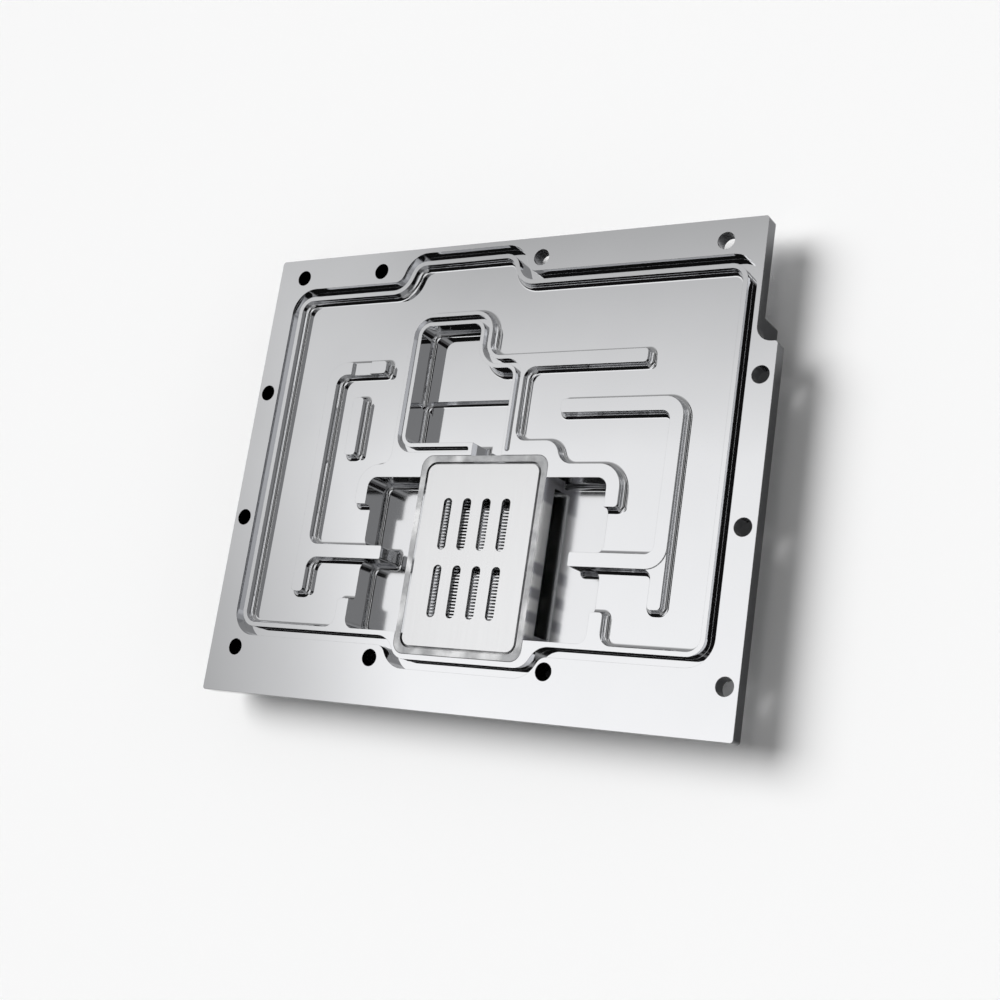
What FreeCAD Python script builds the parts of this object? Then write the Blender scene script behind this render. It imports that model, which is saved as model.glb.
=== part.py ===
import FreeCAD, Part
import math
import os
import Sketcher

# GPU water block seen from its coolant side: a nickel plated copper cold plate with milled
# channels, a clear acrylic insert that sits in its middle, and a thin steel jet plate on top.
# Plan sizes run from the cold plate's lower left corner, heights from its rear face.

NODES = ("cold_plate", "jet_insert", "jet_plate")

SIZES = {
    # cold plate: thin flange over a thicker rear block
    "plate_width": 149.36,
    "plate_depth": 120.0,
    "plate_height": 12.0,
    "flange_thickness": 4.0,
    "edge_radius": 0.8,
    "notch_side": 143.96,
    "notch_floor": 89.4,
    "notch_radius": 3.75,
    "block_front": 5.0,
    "block_step": 106.0,
    "block_front_right": 14.3,
    "block_back_right": 96.9,
    "block_back_step": 76.5,
    "block_radius": 3.0,
    # coolant pocket and the ridge and gasket groove that run round it
    "pocket_left": 10.1,
    "pocket_right": 139.3,
    "pocket_front": 18.55,
    "pocket_back": 107.62,
    "pocket_depth": 2.5,
    "pocket_radius": 3.2,
    "bulge_back": 7.55,
    "bulge_back_slope": 70.0,
    "bulge_back_left": 44.5,
    "bulge_back_right": 79.0,
    "bulge_front": 5.4,
    "bulge_front_slope": 60.0,
    "bulge_front_left": 57.2,
    "bulge_front_right": 98.3,
    "bend_radius": 6.3,
    "ridge_width": 1.15,
    "gasket_width": 2.35,
    "gasket_depth": 3.05,
    "foot_radius": 1.2,
    # inlet well and the grooved wall round it
    "well_left": 51.75,
    "well_front": 66.6,
    "well_back": 98.03,
    "well_neck": 69.93,
    "well_shelf": 85.83,
    "well_right": 81.33,
    "well_radius": 2.5,
    "well_depth": 5.9,
    "well_step": 79.4,
    "well_step_drop": 1.6,
    "passage_left": 72.64,
    "wall_width": 3.37,
    "riser_width": 3.12,
    "neck_bend": 3.4,
    "seal_strip": 1.0,
    "seal_width": 1.35,
    "seal_depth": 1.6,
    "seal_end_radius": 0.6,
    "seal_end_gap": 1.1,
    # side wells that take the warm coolant away from the fins
    "side_well_left": 42.65,
    "side_well_right": 111.35,
    "side_well_front": 18.62,
    "side_well_back": 57.72,
    "side_well_depth": 8.5,
    "rim_end_radius": 0.9,
    "rim_gap_front": 26.1,
    "rim_gap_back": 50.7,
    "rim_overlap": 3.3,
    "rib_level": 36.45,
    "rib_left_end": 50.1,
    "rib_right_end": 103.9,
    "rib_end_radius": 0.5,
    # guide walls that stand on the pocket floor
    "bar_front": 85.77,
    "bar_width": 3.42,
    "bar_right_end": 117.6,
    "riser_foot": 66.9,
    "rise_slope": 70.0,
    "rise_left": 96.1,
    "rise_radius": 4.1,
    "shoulder_right": 114.55,
    "inner_bend": 3.0,
    "left_guide_left": 23.6,
    "left_guide_right": 26.45,
    "left_guide_low_right": 27.15,
    "left_guide_bar_end": 41.9,
    "guide_front": 27.3,
    "guide_end_radius": 1.0,
    "outer_bend": 5.0,
    "left_notch_start": 30.8,
    "left_notch_length": 6.25,
    "left_notch_depth": 0.85,
    "pin_wall_left": 33.1,
    "pin_wall_width": 3.3,
    "pin_wall_front": 63.7,
    "pin_wall_length": 15.6,
    "right_guide_left": 125.3,
    "right_guide_right": 128.58,
    "right_guide_bar_start": 96.1,
    "right_guide_back": 77.2,
    "right_guide_step": 0.3,
    "hook_bend": 2.2,
    # fin chamber and the skived fins on its floor
    "chamber_left": 58.6,
    "chamber_right": 95.0,
    "chamber_front": 13.3,
    "chamber_back": 63.3,
    "chamber_radius": 3.0,
    "fin_left": 64.2,
    "fin_right": 89.4,
    "fin_front": 19.6,
    "fin_pitch": 0.8,
    "fin_thickness": 0.4,
    "fin_height": 3.5,
    "fin_count": 47,
    # screw holes through the flange
    "hole_diameter": 4.3,
    "hole_back_row": 114.6,
    "hole_front_row": 11.7,
    "hole_pitch": 49.5,
    "hole_back_start": 84.4,
    "hole_back_second": 35.0,
    "hole_back_first": 8.57,
    "hole_front_start": 52.1,
    "hole_front_first": 8.47,
    "hole_left_column": 3.16,
    "hole_right_column": 146.12,
    "hole_side_front": 46.55,
    "hole_side_pitch": 34.95,
    # contact side: the die pad and the memory pads stand proud of a shallow relief
    "relief_depth": 0.8,
    "relief_left": 41.0,
    "relief_width": 71.6,
    "relief_front": 15.4,
    "relief_length": 62.0,
    "relief_radius": 4.0,
    "die_left": 61.0,
    "die_width": 31.6,
    "die_front": 23.0,
    "die_length": 30.6,
    "die_radius": 2.0,
    "memory_width": 11.0,
    "memory_length": 14.0,
    "memory_radius": 1.0,
    "memory_left": 44.6,
    "memory_right": 98.0,
    "memory_front": 22.0,
    "memory_pitch": 18.6,
    "memory_back": 60.0,
    "memory_back_left": 62.6,
    # insert and jet plate
    "insert_clearance": 0.1,
    "fin_clearance": 0.3,
    "window_radius": 1.2,
    "outlet_height": 3.7,
    "outlet_leg": 1.2,
    "inlet_height": 2.6,
    "inlet_radius": 0.6,
    "sheet_thickness": 1.0,
    "sheet_left": 60.9,
    "sheet_front": 15.5,
    "sheet_width": 31.85,
    "sheet_length": 45.5,
    "sheet_radius": 2.2,
    "sheet_gap": 0.6,
    "slot_width": 2.4,
    "slot_length": 13.0,
    "slot_end_radius": 1.15,
    "slot_left": 66.9,
    "slot_front": 22.6,
    "slot_column_pitch": 5.6,
    "slot_row_pitch": 16.8,
    "slot_columns": 4,
    "slot_rows": 2,
}


class Size:
    """A length that knows its value and the sheet formula that gives it."""

    def __init__(self, value, formula):
        self.value = value
        self.formula = formula

    def __add__(self, other):
        return Size(self.value + other.value, f"({self.formula} + {other.formula})")

    def __sub__(self, other):
        return Size(self.value - other.value, f"({self.formula} - {other.formula})")

    def __mul__(self, factor):
        return Size(self.value * factor.value, f"({self.formula} * {factor.formula})")

    def __truediv__(self, divisor):
        return Size(self.value / divisor.value, f"({self.formula} / {divisor.formula})")


def size(name):
    """The size of that name in the sheet."""
    return Size(SIZES[name], f"Sizes.{name}")


def number(value):
    """A plain number that takes part in a formula, such as the 2 of a half."""
    return Size(value, repr(value))


def tangent(angle):
    return Size(math.tan(math.radians(angle.value)), f"tan({angle.formula})")


def fill_sheet(document):
    sheet = document.addObject("Spreadsheet::Sheet", "Sizes")
    for row, (name, value) in enumerate(SIZES.items(), start=1):
        sheet.set(f"A{row}", name)
        sheet.set(f"B{row}", str(value))
        sheet.setAlias(f"B{row}", name)
    document.recompute()


def new_body(document, name):
    """A body whose plan origin is the plate's corner, set so that the part is centred."""
    body = document.addObject("PartDesign::Body", name)
    body.Label = name
    half = number(2)
    centre_x = size("plate_width") / half
    centre_y = size("plate_depth") / half
    body.Placement = FreeCAD.Placement(
        FreeCAD.Vector(-centre_x.value, -centre_y.value, 0), FreeCAD.Rotation()
    )
    body.setExpression("Placement.Base.x", f"-{centre_x.formula}")
    body.setExpression("Placement.Base.y", f"-{centre_y.formula}")
    return body


def new_sketch(body, name, height=None):
    """A sketch parallel to the rear face, at the given height above it."""
    sketch = body.newObject("Sketcher::SketchObject", name)
    plane = next(item for item in body.Origin.OriginFeatures if item.Role == "XY_Plane")
    sketch.AttachmentSupport = [(plane, "")]
    sketch.MapMode = "FlatFace"
    if height is not None:
        sketch.AttachmentOffset = FreeCAD.Placement(
            FreeCAD.Vector(0, 0, height.value), FreeCAD.Rotation()
        )
        sketch.setExpression("AttachmentOffset.Base.z", height.formula)
    return sketch


class Rules:
    """Constraints of one outline, added together so that the sketch is solved once."""

    def __init__(self, sketch):
        self.sketch = sketch
        self.constraints = []
        self.formulas = []

    def add(self, kind, *items):
        self.constraints.append(Sketcher.Constraint(kind, *items))
        self.formulas.append(None)

    def bind(self, kind, items, length):
        """A dimension of the sketch, tied to its size in the sheet."""
        self.constraints.append(Sketcher.Constraint(kind, *items, length.value))
        self.formulas.append(length.formula)

    def place(self, point, x, y):
        """Holds a point at x and y; a missing value means on the axis itself."""
        if x is None:
            self.add("PointOnObject", point, 1, -2)
        else:
            self.bind("DistanceX", (-1, 1, point, 1), x)
        if y is None:
            self.add("PointOnObject", point, 1, -1)
        else:
            self.bind("DistanceY", (-1, 1, point, 1), y)

    def apply(self):
        indices = self.sketch.addConstraint(self.constraints)
        for index, formula in zip(indices, self.formulas):
            if formula is not None:
                self.sketch.setExpression(f"Constraints[{index}]", formula)


def draw_loop(sketch, corners):
    """Closed outline through the corners (x, y, radius); a corner with a radius is an arc
    tangent to both of its sides, one with None stays sharp."""
    spots = []
    for x, y, radius in corners:
        spots.append(FreeCAD.Vector(x.value if x else 0, y.value if y else 0, 0))
    arrive = []
    leave = []
    arcs = []
    for index, (x, y, radius) in enumerate(corners):
        spot = spots[index]
        if radius is None:
            arrive.append(spot)
            leave.append(spot)
            arcs.append(None)
            continue
        back = (spots[index - 1] - spot).normalize()
        ahead = (spots[(index + 1) % len(spots)] - spot).normalize()
        half_angle = back.getAngle(ahead) / 2
        reach = radius.value / math.tan(half_angle)
        inward = (back + ahead).normalize()
        centre = spot + inward * (radius.value / math.sin(half_angle))
        middle = centre - inward * radius.value
        arrive.append(spot + back * reach)
        leave.append(spot + ahead * reach)
        left_turn = back.cross(ahead).z < 0
        arc = sketch.addGeometry(Part.Arc(arrive[-1], middle, leave[-1]), False)
        arcs.append((arc, (1, 2) if left_turn else (2, 1)))
    lines = []
    for index in range(len(corners)):
        side = Part.LineSegment(leave[index], arrive[(index + 1) % len(corners)])
        lines.append(sketch.addGeometry(side, False))
    rules = Rules(sketch)
    for index, (x, y, radius) in enumerate(corners):
        point = sketch.addGeometry(Part.Point(spots[index]), True)
        before = lines[index - 1]
        after = lines[index]
        if radius is None:
            rules.add("Coincident", before, 2, point, 1)
            rules.add("Coincident", after, 1, point, 1)
        else:
            arc, (first, last) = arcs[index]
            rules.add("PointOnObject", point, 1, before)
            rules.add("PointOnObject", point, 1, after)
            rules.add("Tangent", before, 2, arc, first)
            rules.add("Tangent", arc, last, after, 1)
            rules.bind("Radius", (arc,), radius)
        rules.place(point, x, y)
    rules.apply()


def draw_circle(sketch, x, y, diameter):
    centre = FreeCAD.Vector(x.value, y.value, 0)
    circle = sketch.addGeometry(Part.Circle(centre, FreeCAD.Vector(0, 0, 1), diameter.value / 2))
    rules = Rules(sketch)
    rules.bind("DistanceX", (-1, 1, circle, 3), x)
    rules.bind("DistanceY", (-1, 1, circle, 3), y)
    rules.bind("Diameter", (circle,), diameter)
    rules.apply()


def rectangle(left, front, right, back, radius=None):
    return [
        (left, front, radius),
        (right, front, radius),
        (right, back, radius),
        (left, back, radius),
    ]


def pad(body, name, sketch, length):
    feature = body.newObject("PartDesign::Pad", name)
    feature.Profile = sketch
    feature.Length = length.value
    feature.setExpression("Length", length.formula)
    return feature


def cut(body, name, sketch, depth, upward=False):
    """A pocket down from the sketch, or up from it; the body has to lose material."""
    before = body.Shape.Volume
    feature = body.newObject("PartDesign::Pocket", name)
    feature.Profile = sketch
    feature.Length = depth.value
    feature.setExpression("Length", depth.formula)
    feature.Reversed = upward
    body.Document.recompute()
    if not body.Shape.Volume < before:
        raise RuntimeError(f"{name} cuts nothing")
    return feature


def foot_fillet(body, name, floor, radius):
    """Rounds the foot of every wall that rises from the floor at that height."""
    body.Document.recompute()
    shape = body.Tip.Shape
    names = []
    for index, edge in enumerate(shape.Edges, start=1):
        box = edge.BoundBox
        if abs(box.ZMin - floor.value) > 1e-4 or abs(box.ZMax - floor.value) > 1e-4:
            continue
        sides = shape.ancestorsOfType(edge, Part.Face)
        if any(face.BoundBox.ZMax > floor.value + 0.01 for face in sides):
            names.append(f"Edge{index}")
    feature = body.newObject("PartDesign::Fillet", name)
    feature.Base = (body.Tip if body.Tip != feature else feature.BaseFeature, names)
    feature.Radius = radius.value
    feature.setExpression("Radius", radius.formula)
    body.Document.recompute()
    return feature


def cold_plate_outline():
    edge = size("edge_radius")
    return [
        (None, None, edge),
        (size("plate_width"), None, edge),
        (size("plate_width"), size("notch_floor"), edge),
        (size("notch_side"), size("notch_floor"), size("notch_radius")),
        (size("notch_side"), size("plate_depth"), edge),
        (None, size("plate_depth"), edge),
    ]


def block_outline():
    """The thick rear block: flush with the left side, the back left and the notch side, and
    cut away behind the rest of the flange."""
    corner = size("block_radius")
    edge = size("edge_radius")
    return [
        (None, size("block_front"), edge),
        (size("block_step"), size("block_front"), corner),
        (size("block_step"), size("block_front_right"), corner),
        (size("notch_side"), size("block_front_right"), corner),
        (size("notch_side"), size("block_back_right"), edge),
        (size("block_back_step"), size("block_back_right"), corner),
        (size("block_back_step"), size("plate_depth"), edge),
        (None, size("plate_depth"), edge),
    ]


def pocket_outline(offset, tight, wide):
    """Edge of the coolant pocket moved out by an offset. Both long sides bulge outwards in
    their middle, and each bulge has sloping ends with a wide bend and a tight one."""
    left = size("pocket_left") - offset
    right = size("pocket_right") + offset
    front = size("pocket_front") - offset
    back = size("pocket_back") + offset
    two = number(2)
    back_shift = offset * tangent(size("bulge_back_slope") / two)
    back_run = size("bulge_back") / tangent(size("bulge_back_slope"))
    front_shift = offset * tangent(size("bulge_front_slope") / two)
    front_run = size("bulge_front") / tangent(size("bulge_front_slope"))
    back_left = size("bulge_back_left") - back_shift
    back_right = size("bulge_back_right") + back_shift
    front_left = size("bulge_front_left") - front_shift
    front_right = size("bulge_front_right") + front_shift
    back_top = back + size("bulge_back")
    front_low = front - size("bulge_front")
    return [
        (left, front, tight),
        (front_left, front, wide),
        (front_left + front_run, front_low, tight),
        (front_right - front_run, front_low, tight),
        (front_right, front, wide),
        (right, front, tight),
        (right, back, tight),
        (back_right, back, wide),
        (back_right - back_run, back_top, tight),
        (back_left + back_run, back_top, tight),
        (back_left, back, wide),
        (left, back, tight),
    ]


def centre_wall_outline():
    """Solid middle of the pocket: the walls of the inlet well, the side wells and the fin
    chamber before those are sunk into it, with the long bar that runs off to the right."""
    wall = size("wall_width")
    tip = size("rim_end_radius")
    bend = size("inner_bend")
    neck = size("neck_bend")
    well = size("well_radius")
    left = size("side_well_left") - wall
    right = size("side_well_right") + wall
    inside_left = size("side_well_left") + size("rim_overlap")
    inside_right = size("side_well_right") - size("rim_overlap")
    back = size("side_well_back") + wall
    riser = size("well_right") + size("riser_width")
    bar_back = size("bar_front") + size("bar_width")
    root = size("pocket_front") - size("bulge_front") - size("ridge_width")
    drop = size("riser_foot") - back
    return [
        (left - wall, root, None),
        (left - wall, size("pocket_front"), None),
        (left, size("pocket_front"), bend),
        (left, size("rim_gap_front"), tip),
        (inside_left, size("rim_gap_front"), None),
        (inside_left, size("rim_gap_back"), None),
        (left, size("rim_gap_back"), tip),
        (left, back, well + wall),
        (size("well_left") - wall, back, bend),
        (size("well_left") - wall, size("well_back") + wall, well + wall),
        (size("well_neck") + wall, size("well_back") + wall, well + wall),
        (size("well_neck") + wall, bar_back, neck),
        (size("bar_right_end"), bar_back, size("guide_end_radius")),
        (size("bar_right_end"), size("bar_front"), size("guide_end_radius")),
        (riser, size("bar_front"), bend),
        (riser, size("riser_foot"), bend),
        (size("rise_left"), size("riser_foot"), size("rise_radius")),
        (size("rise_left") + drop / tangent(size("rise_slope")), back, size("rise_radius")),
        (right, back, well + wall),
        (right, size("rim_gap_back"), tip),
        (inside_right, size("rim_gap_back"), None),
        (inside_right, size("rim_gap_front"), None),
        (right, size("rim_gap_front"), tip),
        (right, size("pocket_front"), bend),
        (right + wall, size("pocket_front"), None),
        (right + wall, root, None),
    ]


def left_guide_outline():
    """Hook on the left: a bar, a long upright and a rib that reaches over the side well."""
    tip = size("guide_end_radius")
    bend = size("inner_bend")
    left = size("left_guide_left")
    bar_back = size("bar_front") + size("bar_width")
    rib_back = size("rib_level") + size("bar_width")
    return [
        (size("left_guide_bar_end"), bar_back, tip),
        (left, bar_back, size("outer_bend")),
        (left, size("guide_front"), tip),
        (size("left_guide_low_right"), size("guide_front"), tip),
        (size("left_guide_low_right"), size("rib_level"), bend),
        (size("rib_left_end"), size("rib_level"), size("rib_end_radius")),
        (size("rib_left_end"), rib_back, size("rib_end_radius")),
        (size("left_guide_right"), rib_back, bend),
        (size("left_guide_right"), size("bar_front"), bend),
        (size("left_guide_bar_end"), size("bar_front"), tip),
    ]


def right_guide_outline():
    """Hook on the right: a bar, a long upright and a rib that reaches over the side well."""
    tip = size("guide_end_radius")
    bend = size("hook_bend")
    right = size("right_guide_right")
    left = size("right_guide_left")
    bar_front = size("right_guide_back") - size("bar_width")
    rib_back = size("rib_level") + size("bar_width")
    return [
        (size("right_guide_bar_start"), size("right_guide_back"), tip),
        (size("right_guide_bar_start"), bar_front, tip),
        (left, bar_front, bend),
        (left, rib_back, bend),
        (size("rib_right_end"), rib_back, size("rib_end_radius")),
        (size("rib_right_end"), size("rib_level"), size("rib_end_radius")),
        (left, size("rib_level"), bend),
        (left, size("guide_front"), tip),
        (right, size("guide_front"), tip),
        (right, size("right_guide_back"), size("outer_bend")),
    ]


def pin_wall_outline():
    """Short free-standing wall between the left hook and the inlet well."""
    left = size("pin_wall_left")
    front = size("pin_wall_front")
    right = left + size("pin_wall_width")
    back = front + size("pin_wall_length")
    return rectangle(left, front, right, back, size("guide_end_radius"))


def left_side_well_outline():
    corner = size("well_radius")
    left = size("side_well_left")
    inside = size("chamber_left") + size("rim_overlap")
    rib_back = size("rib_level") + size("bar_width")
    return [
        (left, size("side_well_front"), corner),
        (inside, size("side_well_front"), None),
        (inside, size("side_well_back"), None),
        (left, size("side_well_back"), corner),
        (left, rib_back, corner),
        (size("rib_left_end"), rib_back, size("rib_end_radius")),
        (size("rib_left_end"), size("rib_level"), size("rib_end_radius")),
        (left, size("rib_level"), corner),
    ]


def right_side_well_outline():
    corner = size("well_radius")
    right = size("side_well_right")
    inside = size("chamber_right") - size("rim_overlap")
    rib_back = size("rib_level") + size("bar_width")
    return [
        (inside, size("side_well_front"), None),
        (right, size("side_well_front"), corner),
        (right, size("rib_level"), corner),
        (size("rib_right_end"), size("rib_level"), size("rib_end_radius")),
        (size("rib_right_end"), rib_back, size("rib_end_radius")),
        (right, rib_back, corner),
        (right, size("side_well_back"), corner),
        (inside, size("side_well_back"), None),
    ]


def inlet_well_outline():
    """Inlet well with its narrow neck at the back and the passage to the fin chamber."""
    corner = size("well_radius")
    into_chamber = size("chamber_back") - size("rim_overlap")
    return [
        (size("well_left"), size("well_front"), corner),
        (size("passage_left"), size("well_front"), None),
        (size("passage_left"), into_chamber, None),
        (size("well_right"), into_chamber, None),
        (size("well_right"), size("well_shelf"), corner),
        (size("well_neck"), size("well_shelf"), size("neck_bend") + size("wall_width")),
        (size("well_neck"), size("well_back"), corner),
        (size("well_left"), size("well_back"), corner),
    ]


def inlet_step_outline():
    """The deeper front part of the inlet well, down to the passage."""
    corner = size("well_radius")
    into_chamber = size("chamber_back") - size("rim_overlap")
    return [
        (size("well_left"), size("well_front"), corner),
        (size("passage_left"), size("well_front"), None),
        (size("passage_left"), into_chamber, None),
        (size("well_right"), into_chamber, None),
        (size("well_right"), size("well_step"), corner),
        (size("well_left"), size("well_step"), corner),
    ]


def seal_groove_outline():
    """Open ended seal groove along the top of the inlet well's wall, kept one strip away
    from the wall's outer side all the way."""
    wall = size("wall_width")
    strip = size("seal_strip")
    width = size("seal_width")
    tip = size("seal_end_radius")
    well = size("well_radius")
    near = wall - strip - width
    far = wall - strip
    riser_far = size("riser_width") - strip
    riser_near = riser_far - width
    front_end = size("chamber_back") + strip
    left_end = size("passage_left") - size("seal_end_gap")
    bar_back = size("bar_front") + size("bar_width")
    neck = size("neck_bend") + strip
    return [
        (left_end, size("well_front") - far, tip),
        (size("well_left") - far, size("well_front") - far, well + far),
        (size("well_left") - far, size("well_back") + far, well + far),
        (size("well_neck") + far, size("well_back") + far, well + far),
        (size("well_neck") + far, bar_back - strip, neck),
        (size("well_right") + riser_far, bar_back - strip, well + riser_far),
        (size("well_right") + riser_far, front_end, tip),
        (size("well_right") + riser_near, front_end, tip),
        (size("well_right") + riser_near, bar_back - strip - width, well + riser_near),
        (size("well_neck") + near, bar_back - strip - width, neck + width),
        (size("well_neck") + near, size("well_back") + near, well + near),
        (size("well_left") - near, size("well_back") + near, well + near),
        (size("well_left") - near, size("well_front") - near, well + near),
        (left_end, size("well_front") - near, tip),
    ]


def chamber_outline(offset):
    radius = size("chamber_radius") - offset
    return rectangle(
        size("chamber_left") + offset,
        size("chamber_front") + offset,
        size("chamber_right") - offset,
        size("chamber_back") - offset,
        radius,
    )


def hole_places():
    """Centres of the screw holes: four in the back row, four in the front row and two on
    each side."""
    back = size("hole_back_row")
    front = size("hole_front_row")
    pitch = size("hole_pitch")
    side_front = size("hole_side_front")
    side_back = side_front + size("hole_side_pitch")
    return [
        (size("hole_back_first"), back),
        (size("hole_back_second"), back),
        (size("hole_back_start"), back),
        (size("hole_back_start") + pitch, back),
        (size("hole_front_first"), front),
        (size("hole_front_start"), front),
        (size("hole_front_start") + pitch, front),
        (size("hole_right_column"), front),
        (size("hole_left_column"), side_front),
        (size("hole_left_column"), side_back),
        (size("hole_right_column"), side_front),
        (size("hole_right_column"), side_back),
    ]


def make_cold_plate(document):
    body = new_body(document, "cold_plate")
    top = size("plate_height")
    floor = top - size("pocket_depth")
    foot = size("foot_radius")

    sketch = new_sketch(body, "flange_outline", top - size("flange_thickness"))
    draw_loop(sketch, cold_plate_outline())
    pad(body, "flange", sketch, size("flange_thickness"))

    sketch = new_sketch(body, "block_outline")
    draw_loop(sketch, block_outline())
    pad(body, "rear_block", sketch, top - size("flange_thickness"))
    document.recompute()

    sketch = new_sketch(body, "pocket_outline", top)
    zero = size("ridge_width") - size("ridge_width")
    draw_loop(sketch, pocket_outline(zero, size("pocket_radius"), size("bend_radius")))
    cut(body, "coolant_pocket", sketch, size("pocket_depth"))

    guides = {
        "centre_wall": centre_wall_outline(),
        "left_guide": left_guide_outline(),
        "right_guide": right_guide_outline(),
        "pin_wall": pin_wall_outline(),
    }
    for name, corners in guides.items():
        sketch = new_sketch(body, name + "_outline", floor)
        draw_loop(sketch, corners)
        pad(body, name, sketch, size("pocket_depth"))
    foot_fillet(body, "pocket_foot", floor, foot)

    for name, corners in (
        ("left_side_well", left_side_well_outline()),
        ("right_side_well", right_side_well_outline()),
    ):
        sketch = new_sketch(body, name + "_outline", top)
        draw_loop(sketch, corners)
        cut(body, name, sketch, size("side_well_depth"))
    foot_fillet(body, "side_well_foot", top - size("side_well_depth"), foot)

    sketch = new_sketch(body, "inlet_well_outline", top)
    draw_loop(sketch, inlet_well_outline())
    cut(body, "inlet_well", sketch, size("well_depth"))
    foot_fillet(body, "inlet_well_foot", top - size("well_depth"), foot)
    step_floor = top - size("well_depth") - size("well_step_drop")
    sketch = new_sketch(body, "inlet_step_outline", top)
    draw_loop(sketch, inlet_step_outline())
    cut(body, "inlet_step", sketch, size("well_depth") + size("well_step_drop"))
    foot_fillet(body, "inlet_step_foot", step_floor, foot)

    sketch = new_sketch(body, "chamber_outline", top)
    draw_loop(sketch, chamber_outline(zero))
    cut(body, "fin_chamber", sketch, size("side_well_depth"))

    make_grooves(body, top)

    sketch = new_sketch(body, "hole_centres", top)
    for x, y in hole_places():
        draw_circle(sketch, x, y, size("hole_diameter"))
    cut(body, "screw_holes", sketch, top)

    make_contact_side(body)
    make_fins(body, top - size("side_well_depth"))
    return body


def make_fins(body, chamber_floor):
    """Skived fins: thin upright blades side by side across the chamber floor."""
    half_gap = (size("fin_pitch") - size("fin_thickness")) / number(2)
    first = size("fin_front") + half_gap
    sketch = new_sketch(body, "fin_outline", chamber_floor)
    corners = rectangle(
        size("fin_left"), first, size("fin_right"), first + size("fin_thickness")
    )
    draw_loop(sketch, corners)
    fin = pad(body, "fin", sketch, size("fin_height"))
    body.Document.recompute()
    pattern = body.newObject("PartDesign::LinearPattern", "fins")
    pattern.Originals = [fin]
    axis = next(item for item in body.Origin.OriginFeatures if item.Role == "Y_Axis")
    pattern.Direction = (axis, [""])
    spacings = size("fin_count") - number(1)
    run = size("fin_pitch") * spacings
    pattern.Length = run.value
    pattern.setExpression("Length", run.formula)
    pattern.Occurrences = int(size("fin_count").value)
    pattern.setExpression("Occurrences", size("fin_count").formula)
    body.Tip = pattern
    body.Document.recompute()


def make_grooves(body, top):
    """Gasket groove round the pocket, seal groove round the inlet well, the low place in
    the left hook's bar and the lowered upright of the right hook."""
    ridge = size("ridge_width")
    both = ridge + size("gasket_width")
    tight = size("pocket_radius")
    wide = size("bend_radius")
    sketch = new_sketch(body, "gasket_groove_outline", top)
    draw_loop(sketch, pocket_outline(both, tight + both, wide - both))
    draw_loop(sketch, pocket_outline(ridge, tight + ridge, wide - ridge))
    cut(body, "gasket_groove", sketch, size("gasket_depth"))

    sketch = new_sketch(body, "seal_groove_outline", top)
    draw_loop(sketch, seal_groove_outline())
    cut(body, "seal_groove", sketch, size("seal_depth"))

    start = size("left_notch_start")
    front = size("bar_front")
    corners = rectangle(
        start,
        front - ridge,
        start + size("left_notch_length"),
        front + size("bar_width") + ridge,
    )
    sketch = new_sketch(body, "left_notch_outline", top)
    draw_loop(sketch, corners)
    cut(body, "left_notch", sketch, size("left_notch_depth"))

    bend = size("outer_bend")
    right = size("right_guide_right")
    corner_left = right - bend
    level = size("rib_level")
    sketch = new_sketch(body, "right_step_outline", top)
    corners = [
        (corner_left, size("guide_front") - ridge, None),
        (right + ridge, size("guide_front") - ridge, None),
        (right + ridge, level + bend, None),
        (right, level + bend, None),
        (right, level, bend),
        (corner_left, level, None),
    ]
    draw_arc_corner_loop(sketch, corners)
    cut(body, "right_step", sketch, size("right_guide_step"))


def draw_arc_corner_loop(sketch, corners):
    """Outline whose one rounded corner uses up both of its sides: the two sharp corners
    beside it are the ends of the arc."""
    index = next(i for i, (x, y, radius) in enumerate(corners) if radius is not None)
    radius = corners[index][2]
    spots = [FreeCAD.Vector(x.value, y.value, 0) for x, y, r in corners]
    start = spots[index - 1]
    end = spots[(index + 1) % len(spots)]
    centre = FreeCAD.Vector(end.x, start.y, 0)
    middle = centre + (spots[index] - centre).normalize() * radius.value
    arc = sketch.addGeometry(Part.Arc(start, middle, end), False)
    order = [(index + 1 + step) % len(corners) for step in range(len(corners) - 1)]
    rules = Rules(sketch)
    points = []
    for place in order:
        point = sketch.addGeometry(Part.Point(spots[place]), True)
        rules.place(point, corners[place][0], corners[place][1])
        points.append(point)
    for place in range(len(order) - 1):
        side = Part.LineSegment(spots[order[place]], spots[order[place + 1]])
        line = sketch.addGeometry(side, False)
        rules.add("Coincident", line, 1, points[place], 1)
        rules.add("Coincident", line, 2, points[place + 1], 1)
    clockwise = (start - centre).cross(end - centre).z < 0
    first, last = (2, 1) if clockwise else (1, 2)
    rules.add("Coincident", arc, first, points[-1], 1)
    rules.add("Coincident", arc, last, points[0], 1)
    rules.bind("Radius", (arc,), radius)
    rules.apply()


def make_contact_side(body):
    """Rear face: a shallow relief that leaves the die pad and the memory pads standing."""
    sketch = new_sketch(body, "relief_outline")
    left = size("relief_left")
    front = size("relief_front")
    draw_loop(sketch, rectangle(
        left, front, left + size("relief_width"), front + size("relief_length"),
        size("relief_radius"),
    ))
    die_left = size("die_left")
    die_front = size("die_front")
    draw_loop(sketch, rectangle(
        die_left, die_front, die_left + size("die_width"), die_front + size("die_length"),
        size("die_radius"),
    ))
    pads = []
    for column in ("memory_left", "memory_right"):
        for row in (0, 1):
            pads.append((size(column), size("memory_front") + size("memory_pitch") * number(row)))
    for left, front in pads:
        draw_loop(sketch, rectangle(
            left, front, left + size("memory_width"), front + size("memory_length"),
            size("memory_radius"),
        ))
    for column in (0, 1):
        left = size("memory_back_left") + size("memory_pitch") * number(column)
        front = size("memory_back")
        draw_loop(sketch, rectangle(
            left, front, left + size("memory_width"), front + size("memory_length"),
            size("memory_radius"),
        ))
    cut(body, "contact_relief", sketch, size("relief_depth"), upward=True)


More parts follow.
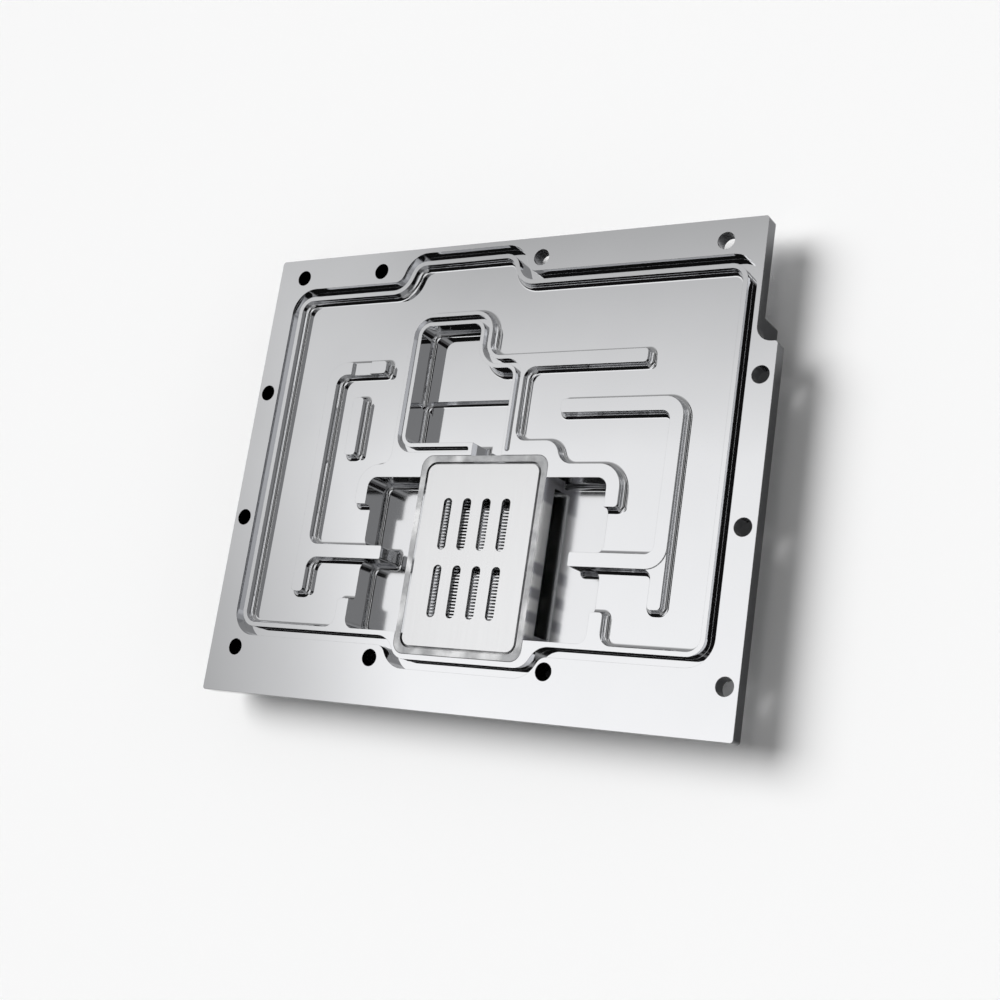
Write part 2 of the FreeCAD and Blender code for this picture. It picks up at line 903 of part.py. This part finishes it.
def make_insert(document):
    """Clear acrylic frame: it stands on the chamber floor round the fins, lets the coolant
    in through its back wall and out under both of its long sides."""
    body = new_body(document, "jet_insert")
    top = size("plate_height")
    floor = top - size("side_well_depth")
    clearance = size("insert_clearance")

    sketch = new_sketch(body, "insert_outline", floor)
    draw_loop(sketch, chamber_outline(clearance))
    pad(body, "insert_block", sketch, size("side_well_depth"))
    document.recompute()

    gap = size("sheet_gap")
    left = size("sheet_left") - gap
    front = size("sheet_front") - gap
    right = size("sheet_left") + size("sheet_width") + gap
    back = size("sheet_front") + size("sheet_length") + gap
    sketch = new_sketch(body, "rebate_outline", top)
    draw_loop(sketch, rectangle(left, front, right, back, size("sheet_radius") + gap))
    cut(body, "sheet_rebate", sketch, size("sheet_thickness"))

    space = size("fin_clearance")
    fin_back = size("fin_front") + size("fin_pitch") * size("fin_count")
    window_front = size("fin_front") - space
    window_back = fin_back + space
    sketch = new_sketch(body, "window_outline", top)
    draw_loop(sketch, rectangle(
        size("fin_left") - space, window_front, size("fin_right") + space, window_back,
        size("window_radius"),
    ))
    cut(body, "fin_window", sketch, size("side_well_depth"))

    leg = size("outlet_leg")
    sketch = new_sketch(body, "outlet_outline", floor)
    draw_loop(sketch, rectangle(
        size("chamber_left"), window_front + leg, size("chamber_right"), window_back - leg
    ))
    cut(body, "side_outlets", sketch, size("outlet_height"), upward=True)

    sketch = new_sketch(body, "inlet_outline", floor + size("outlet_height"))
    draw_loop(sketch, rectangle(
        size("passage_left"), window_back - leg, size("well_right"), size("chamber_back")
    ))
    cut(body, "back_inlet", sketch, size("inlet_height"), upward=True)
    return body


def make_jet_plate(document):
    """Thin steel sheet that lies in the insert's rebate, with two rows of jet slots."""
    body = new_body(document, "jet_plate")
    thickness = size("sheet_thickness")
    base = size("plate_height") - thickness
    left = size("sheet_left")
    front = size("sheet_front")
    sketch = new_sketch(body, "sheet_outline", base)
    draw_loop(sketch, rectangle(
        left, front, left + size("sheet_width"), front + size("sheet_length"),
        size("sheet_radius"),
    ))
    for column in range(SIZES["slot_columns"]):
        for row in range(SIZES["slot_rows"]):
            slot_left = size("slot_left") + size("slot_column_pitch") * number(column)
            slot_front = size("slot_front") + size("slot_row_pitch") * number(row)
            draw_loop(sketch, rectangle(
                slot_left, slot_front, slot_left + size("slot_width"),
                slot_front + size("slot_length"), size("slot_end_radius"),
            ))
    pad(body, "sheet", sketch, thickness)
    document.recompute()
    return body


def check(document, bodies):
    """Stops before anything is written if a feature failed or a solid isn't sound."""
    for item in document.Objects:
        if "Invalid" in item.State or "Error" in item.State:
            raise RuntimeError(f"{item.Name} failed: {item.State}")
    for body in bodies:
        shape = body.Shape
        if shape.isNull() or not shape.isValid() or len(shape.Solids) != 1:
            raise RuntimeError(f"{body.Label} isn't one sound solid")


def main():
    document = FreeCAD.newDocument("gpu_water_block")
    fill_sheet(document)
    bodies = [make_cold_plate(document), make_insert(document), make_jet_plate(document)]
    document.recompute()
    check(document, bodies)
    os.makedirs("parts", exist_ok=True)
    for name, body in zip(NODES, bodies):
        body.Shape.exportStep(os.path.join("parts", name + ".step"))
        box = body.Shape.BoundBox
        print(name, round(body.Shape.Volume), [round(v, 2) for v in (
            box.XMin, box.YMin, box.ZMin, box.XMax, box.YMax, box.ZMax)])


main()
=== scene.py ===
import math

import bpy
import numpy as np
from mathutils import Matrix

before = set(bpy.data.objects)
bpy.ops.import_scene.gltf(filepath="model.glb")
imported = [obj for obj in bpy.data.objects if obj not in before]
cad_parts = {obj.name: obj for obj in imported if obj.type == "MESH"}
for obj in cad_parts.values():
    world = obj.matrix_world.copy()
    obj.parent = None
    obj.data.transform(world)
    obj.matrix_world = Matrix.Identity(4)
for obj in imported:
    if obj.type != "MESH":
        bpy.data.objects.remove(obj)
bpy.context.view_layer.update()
scene = bpy.context.scene


# Table top and light
#
# The water block lies on its contact side on a plain white table top. A wide soft lamp shines
# from the upper left, and pale panels in a dark room are mirrored by the bright metal.

def new_material(name):
    """Empty node material: returns the material, its node tree and its output node."""
    material = bpy.data.materials.new(name)
    material.use_nodes = True
    tree = material.node_tree
    tree.nodes.clear()
    output = tree.nodes.new("ShaderNodeOutputMaterial")
    return material, tree, output


def math_node(tree, operation, result, *values):
    """The operation on the first two values, then on that result and the next value, and so
    on. Each value is a number or a socket, and the last result's socket is returned."""
    for value in values:
        node = tree.nodes.new("ShaderNodeMath")
        node.operation = operation
        for socket, item in zip(node.inputs, (result, value)):
            if isinstance(item, (int, float)):
                socket.default_value = item
            else:
                tree.links.new(item, socket)
        result = node.outputs[0]
    return result


def ramp_node(tree, value, start, end, low=0.0, high=1.0, smooth=True):
    """Goes from low to high as the value goes from start to end, and stays level beyond. It
    eases in and out where smooth is set, and is straight otherwise."""
    node = tree.nodes.new("ShaderNodeMapRange")
    node.interpolation_type = "SMOOTHSTEP" if smooth else "LINEAR"
    tree.links.new(value, node.inputs["Value"])
    node.inputs["From Min"].default_value = start
    node.inputs["From Max"].default_value = end
    node.inputs["To Min"].default_value = low
    node.inputs["To Max"].default_value = high
    return node.outputs["Result"]


def split_node(tree, vector):
    """The vector's x, y and z as three sockets."""
    node = tree.nodes.new("ShaderNodeSeparateXYZ")
    tree.links.new(vector, node.inputs[0])
    return node.outputs


def table_top(half):
    """Square sheet z = 0 with x and y from -half to half."""
    line = np.array([-half, half])
    x, y = np.meshgrid(line, line, indexing="ij")
    points = np.stack([x, y, np.zeros_like(x)], -1).reshape(-1, 3)
    mesh = bpy.data.meshes.new("table_top")
    mesh.from_pydata(points.tolist(), [], [(0, 2, 3, 1)])
    mesh.update()
    table = bpy.data.objects.new("table_top", mesh)
    scene.collection.objects.link(table)
    return table


def table_white():
    material, tree, output = new_material("table_white")
    shader = tree.nodes.new("ShaderNodeBsdfPrincipled")
    shader.inputs["Base Color"].default_value = (0.93, 0.93, 0.93, 1)
    shader.inputs["Roughness"].default_value = 0.6
    shader.inputs["Specular IOR Level"].default_value = 0.2
    tree.links.new(shader.outputs[0], output.inputs["Surface"])
    return material


table = table_top(half=4.0)
table.data.materials.append(table_white())


def studio_world():
    """Room light by direction (x, y, z): the brightest of all that lies there. What hangs
    overhead is laid out on a level ceiling by p = x / z and q = y / z, and what stands lower
    by x, y and z. Two sectors stay dark, for the black lines beside the milled walls."""
    world = bpy.data.worlds.new("studio")
    world.use_nodes = True
    tree = world.node_tree
    tree.nodes.clear()
    x, y, z = split_node(tree, tree.nodes.new("ShaderNodeTexCoord").outputs["Generated"])
    lowest = 0.02
    height = math_node(tree, "MAXIMUM", z, lowest)
    p = math_node(tree, "DIVIDE", x, height)
    q = math_node(tree, "DIVIDE", y, height)

    def ramp(value, start, end, low=0.0, high=1.0, smooth=True):
        return ramp_node(tree, value, start, end, low, high, smooth)

    def times(*values):
        return math_node(tree, "MULTIPLY", *values)

    def brightest(*values):
        return math_node(tree, "MAXIMUM", *values)

    def without(whole, taken):
        return math_node(tree, "SUBTRACT", whole, taken)

    def between(value, start, end, level=1.0, soft=0.04):
        """Level from start to end and zero outside, with soft edges just inside the two."""
        return times(ramp(value, start, start + soft), ramp(value, end, end - soft, 0.0, level))

    # Three panels side by side overhead, and a fourth from straight above to the front. The
    # left one dims towards the back, less so at its far side, and towards its left end.
    towards_back = ramp(q, 0.05, 0.34, 1.15, 0.95, smooth=False)
    back = ramp(q, 0.3, 0.5, 1.0, 0.52, smooth=False)
    far_side_back = ramp(q, 0.3, 0.5, 0.86, 0.68, smooth=False)
    far_side = ramp(p, -0.72, -0.86)
    back = math_node(tree, "ADD", back, times(without(far_side_back, back), far_side))
    slant = math_node(tree, "ADD", p, times(q, 0.6))
    left_end = ramp(slant, -0.95, -0.648, 0.37, 1.0, smooth=False)
    left = times(between(p, -1.4, -0.27), towards_back, back, left_end)
    narrow = between(p, -0.03, 0.12)
    right = between(p, 0.5, 1.2, level=0.26)
    panels = times(math_node(tree, "ADD", left, narrow, right), between(q, -0.02, 0.75))
    top_panel = times(between(p, -0.33, 0.33, 0.85, soft=0.1), between(q, -0.4, 0.1, soft=0.08))

    # The dark sector to the left and front, and the dark belt from left to right.
    sector = times(between(x, -0.8, 0.1, soft=0.1), ramp(y, -0.62, -0.5))
    sector = brightest(sector, between(x, -0.8, -0.22, soft=0.1))
    sector = times(sector, ramp(y, 0.35, 0.5, 1.0, 0.0))
    open_air = without(1.0, sector)
    belt = between(y, -0.46, 0.52, soft=0.08)

    # The pale horizon, the bands above it and the grey sky outside the belt, which is darker
    # at the front right.
    horizon = times(between(z, -0.1, 0.11, level=0.85), open_air)
    low_band = times(between(z, 0.05, 0.5, 0.32, soft=0.15), open_air, ramp(x, 0.55, 0.7, 1.0, 0.0))
    left_band = times(between(z, 0.05, 0.62, 0.5, soft=0.15), ramp(x, -0.7, -0.82))
    right_band = times(between(z, 0.1, 0.36, level=1.1), ramp(x, 0.5, 0.7))
    front_right = brightest(ramp(x, 0.15, 0.3, 1.0, 0.35), ramp(y, -0.4, 0.4))
    sky = times(open_air, without(1.0, belt), ramp(z, 0.02, 0.2, 0.0, 0.3), front_right)
    right_sky = times(ramp(x, 0.7, 0.8), ramp(y, -0.05, 0.07, 0.3, 0.1), ramp(z, 0.25, 0.4))

    low = brightest(horizon, low_band, left_band, right_band)
    room = 0.006
    light = math_node(tree, "ADD", brightest(panels, top_panel, low, sky, right_sky), room)
    background = tree.nodes.new("ShaderNodeBackground")
    tree.links.new(light, background.inputs["Strength"])
    background.inputs["Color"].default_value = (1.0, 1.0, 1.0, 1)
    output = tree.nodes.new("ShaderNodeOutputWorld")
    tree.links.new(background.outputs[0], output.inputs["Surface"])
    return world


def soft_lamp(strength, width, towards):
    """Distant lamp of that angular width, in degrees, which shines from the direction given.
    Its own axes are that direction, a level one beside it and the one square to both. It
    isn't mirrored, because the panels of the room are."""
    data = bpy.data.lights.new("big_soft_lamp", "SUN")
    data.energy = strength
    data.angle = math.radians(width)
    towards = towards / np.linalg.norm(towards)
    level = np.cross([0, 0, 1], towards)
    level /= np.linalg.norm(level)
    upright = np.cross(towards, level)
    lamp = bpy.data.objects.new("big_soft_lamp", data)
    lamp.matrix_world = Matrix(np.stack([level, upright, towards], 1).tolist()).to_4x4()
    lamp.visible_glossy = False
    lamp.visible_transmission = False
    scene.collection.objects.link(lamp)


scene.world = studio_world()
soft_lamp(strength=3.0, width=42, towards=np.array([-0.62, 0.22, 0.75]))


# Cold plate
#
# Copper plate with milled channels, nickel plated bright all over. The cutter leaves faint
# rings on every floor, and the plating is uneven in gloss. Its outer sides and screw holes are
# painted near black, painted shade for the dark reflection they show.

def painted_shade_places(tree, position):
    """1 on the upright faces of the plate's edges, screw holes and rear block, 0 elsewhere.
    The screw holes are found by the strips they lie in, without the bends of the groove."""
    x, y, z = split_node(tree, position)
    normal = tree.nodes.new("ShaderNodeNewGeometry").outputs["True Normal"]
    upward = split_node(tree, normal)[2]

    def inside(value, start, end):
        above = math_node(tree, "GREATER_THAN", value, start)
        return math_node(tree, "MULTIPLY", above, math_node(tree, "LESS_THAN", value, end))

    def outside(value, start, end):
        return math_node(tree, "SUBTRACT", 1.0, inside(value, start, end))

    endless = 1.0
    end_strips, edge_faces = 0.069, 0.0599
    block_top = 0.0079
    back_bend = inside(x, -0.037, 0.0072)
    front_bend = inside(x, -0.0205, 0.0247)
    back = math_node(tree, "SUBTRACT", inside(y, 0.0522, endless), back_bend)
    front = math_node(tree, "SUBTRACT", inside(y, -endless, -0.0452), front_bend)
    ends = outside(x, -end_strips, end_strips)
    edges = outside(y, -edge_faces, edge_faces)
    wells = math_node(tree, "MULTIPLY", inside(x, -0.034, 0.0385), inside(y, -0.0472, 0.0395))
    block = math_node(tree, "SUBTRACT", inside(z, -endless, block_top), wells)
    places = math_node(tree, "MAXIMUM", back, front, ends, edges, block)
    return math_node(tree, "MULTIPLY", places, inside(upward, -0.5, 0.5))


def noise(tree, position, scale, detail=2.0):
    """Cloudy value from 0 to 1 by place, finer with a larger scale."""
    node = tree.nodes.new("ShaderNodeTexNoise")
    node.inputs["Scale"].default_value = scale
    node.inputs["Detail"].default_value = detail
    tree.links.new(position, node.inputs["Vector"])
    return node.outputs[0]


def tone_node(tree, share, first, second):
    """Goes from the first colour to the second as the share goes from 0 to 1. The first may
    also be another tone's socket."""
    node = tree.nodes.new("ShaderNodeMixRGB")
    tree.links.new(share, node.inputs[0])
    if isinstance(first, tuple):
        node.inputs[1].default_value = first
    else:
        tree.links.new(first, node.inputs[1])
    node.inputs[2].default_value = second
    return node.outputs[0]


def nickel():
    material, tree, output = new_material("bright_nickel")
    shader = tree.nodes.new("ShaderNodeBsdfPrincipled")
    shader.inputs["Metallic"].default_value = 1.0
    position = tree.nodes.new("ShaderNodeTexCoord").outputs["Object"]

    # Gloss in soft clouds, and duller from the floor of the side wells and fin chamber down.
    cloud = noise(tree, position, scale=45.0, detail=3.0)
    gloss = ramp_node(tree, cloud, 0.3, 0.7, 0.02, 0.05)
    well_floor, above_floor = 0.0034, 0.0048
    deep = ramp_node(tree, split_node(tree, position)[2], well_floor, above_floor, 0.11, 0.0)
    tree.links.new(math_node(tree, "ADD", gloss, deep), shader.inputs["Roughness"])

    bright = tone_node(tree, cloud, (0.755, 0.76, 0.775, 1), (0.81, 0.815, 0.83, 1))
    # Painted shade: the outer sides and screw holes are painted near black, for the dark reflection
    # of the shadowed table and room that they mirror.
    painted_dark_sides = (0.12, 0.122, 0.128, 1)
    tone = tone_node(tree, painted_shade_places(tree, position), bright, painted_dark_sides)
    tree.links.new(tone, shader.inputs["Base Color"])

    # Rings that the cutter leaves, and edges that are broken by a tenth of a millimetre.
    marks = tree.nodes.new("ShaderNodeTexWave")
    marks.wave_type = "RINGS"
    marks.inputs["Scale"].default_value = 620.0
    marks.inputs["Distortion"].default_value = 3.0
    marks.inputs["Detail Scale"].default_value = 0.4
    tree.links.new(position, marks.inputs["Vector"])
    bevel = tree.nodes.new("ShaderNodeBevel")
    bevel.samples = 6
    bevel.inputs["Radius"].default_value = 0.0001
    bump = tree.nodes.new("ShaderNodeBump")
    bump.inputs["Strength"].default_value = 0.5
    bump.inputs["Distance"].default_value = 0.0000002
    tree.links.new(marks.outputs[1], bump.inputs["Height"])
    tree.links.new(bevel.outputs[0], bump.inputs["Normal"])
    tree.links.new(bump.outputs[0], shader.inputs["Normal"])
    tree.links.new(shader.outputs[0], output.inputs["Surface"])
    return material


def finish_node(name, material):
    """Gives a CAD node this material in all of its slots."""
    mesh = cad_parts[name].data
    if not mesh.materials:
        mesh.materials.append(material)
    for index in range(len(mesh.materials)):
        mesh.materials[index] = material


finish_node("cold_plate", nickel())


# Clear insert
#
# Acrylic frame, milled from sheet, that stands in the fin chamber and carries the jet plate.
# Its milled top is frosted in patches, and its right side has soft pale patches painted on, painted
# light where light comes out.

def mixed(tree, share, first, second):
    """Shader that goes from first to second as the share goes from 0 to 1."""
    mix = tree.nodes.new("ShaderNodeMixShader")
    tree.links.new(share, mix.inputs[0])
    tree.links.new(first.outputs[0], mix.inputs[1])
    tree.links.new(second.outputs[0], mix.inputs[2])
    return mix


def side_with_painted_glow(tree, position):
    """Soft side of the insert: grey with four paler patches of painted light above its outlets,
    which are stretches of y with soft ends, fading in from the lower height to the upper one."""
    _, y, z = split_node(tree, position)
    soft = 0.0006
    painted_glow = 0.0
    for start, end in ((-0.0225, -0.008), (-0.0285, -0.0255), (-0.0342, -0.0312), (-0.04, -0.037)):
        rise = ramp_node(tree, y, start - soft, start + soft)
        fall = ramp_node(tree, y, end - soft, end + soft, 1.0, 0.0)
        painted_glow = math_node(tree, "ADD", painted_glow, math_node(tree, "MULTIPLY", rise, fall))
    lower, upper = 0.0068, 0.0082
    painted_glow = math_node(tree, "MULTIPLY", painted_glow, ramp_node(tree, z, lower, upper))
    shader = tree.nodes.new("ShaderNodeBsdfPrincipled")
    shader.inputs["Roughness"].default_value = 0.5
    shader.inputs["Subsurface Weight"].default_value = 1.0
    shader.inputs["Subsurface Radius"].default_value = (1.0, 1.0, 1.0)
    shader.inputs["Subsurface Scale"].default_value = 0.004
    shader.inputs["IOR"].default_value = 1.49
    # Painted light: the patches are painted near white, for light that comes out of the side.
    tone = tone_node(tree, painted_glow, (0.42, 0.42, 0.45, 1), (1.0, 1.0, 1.0, 1))
    tree.links.new(tone, shader.inputs["Base Color"])
    return shader


def clear_acrylic():
    material, tree, output = new_material("clear_acrylic")
    position = tree.nodes.new("ShaderNodeTexCoord").outputs["Object"]
    bevel = tree.nodes.new("ShaderNodeBevel")
    bevel.samples = 6
    bevel.inputs["Radius"].default_value = 0.00025

    clear = tree.nodes.new("ShaderNodeBsdfPrincipled")
    clear.inputs["Base Color"].default_value = (0.96, 0.97, 0.98, 1)
    clear.inputs["Transmission Weight"].default_value = 1.0
    clear.inputs["IOR"].default_value = 1.49
    gloss = ramp_node(tree, noise(tree, position, scale=300.0), 0.3, 0.7, 0.04, 0.15)
    tree.links.new(gloss, clear.inputs["Roughness"])
    tree.links.new(bevel.outputs[0], clear.inputs["Normal"])

    frosted = tree.nodes.new("ShaderNodeBsdfPrincipled")
    frosted.inputs["Roughness"].default_value = 0.2
    frosted.inputs["Transmission Weight"].default_value = 0.1
    frosted.inputs["IOR"].default_value = 1.49
    patches = ramp_node(tree, noise(tree, position, scale=130.0, detail=1.0), 0.42, 0.64)
    tone = tone_node(tree, patches, (0.5, 0.505, 0.515, 1), (0.95, 0.955, 0.96, 1))
    tree.links.new(tone, frosted.inputs["Base Color"])
    tree.links.new(bevel.outputs[0], frosted.inputs["Normal"])

    # The frost lies on what faces up, and the side with the painted glow on what faces right at the
    # outside.
    normal = split_node(tree, tree.nodes.new("ShaderNodeNewGeometry").outputs["True Normal"])
    frost = ramp_node(tree, noise(tree, position, scale=420.0, detail=4.0), 0.3, 0.6, 0.66, 0.86)
    upward = math_node(tree, "MULTIPLY", ramp_node(tree, normal[2], 0.5, 0.9), frost)
    right_side = 0.019
    place = ramp_node(tree, split_node(tree, position)[0], right_side, right_side + 0.0005)
    rightward = ramp_node(tree, normal[0], 0.5, 0.9, 0.0, 0.9)
    outer = math_node(tree, "MULTIPLY", rightward, place)
    body = mixed(tree, upward, clear, frosted)
    whole = mixed(tree, outer, body, side_with_painted_glow(tree, position))
    tree.links.new(whole.outputs[0], output.inputs["Surface"])
    return material


finish_node("jet_insert", clear_acrylic())


# Jet plate
#
# Thin stainless sheet with cut slots that lies in the insert's rebate. Rolled finish, with
# faint lines along its length.

def rolled_steel():
    material, tree, output = new_material("rolled_steel")
    shader = tree.nodes.new("ShaderNodeBsdfPrincipled")
    shader.inputs["Metallic"].default_value = 1.0
    shader.inputs["Base Color"].default_value = (0.82, 0.822, 0.83, 1)
    stretch = tree.nodes.new("ShaderNodeMapping")
    stretch.inputs["Scale"].default_value = (3000.0, 60.0, 60.0)
    position = tree.nodes.new("ShaderNodeTexCoord").outputs["Object"]
    tree.links.new(position, stretch.inputs["Vector"])
    lines = noise(tree, stretch.outputs[0], scale=1.0)
    gloss = ramp_node(tree, lines, 0.3, 0.7, 0.172, 0.19)
    tree.links.new(gloss, shader.inputs["Roughness"])
    tree.links.new(shader.outputs[0], output.inputs["Surface"])
    return material


finish_node("jet_plate", rolled_steel())


# Camera
#
# Looks down on the coolant side from the right front, tilted as in the photograph. Its lens
# and place were worked out from the plate's outline.

camera_data = bpy.data.cameras.new("camera")
camera_data.sensor_width = 36.0
camera_data.lens = 53.4528
camera_data.clip_start = 0.01
camera = bpy.data.objects.new("camera", camera_data)
camera.matrix_world = Matrix((
    (0.8467, -0.0095, 0.5319, 0.19790),
    (0.1468, 0.9652, -0.2165, -0.08513),
    (-0.5113, 0.2614, 0.8187, 0.30376),
    (0.0, 0.0, 0.0, 1.0),
))
scene.collection.objects.link(camera)
scene.camera = camera

scene.view_settings.view_transform = "Standard"
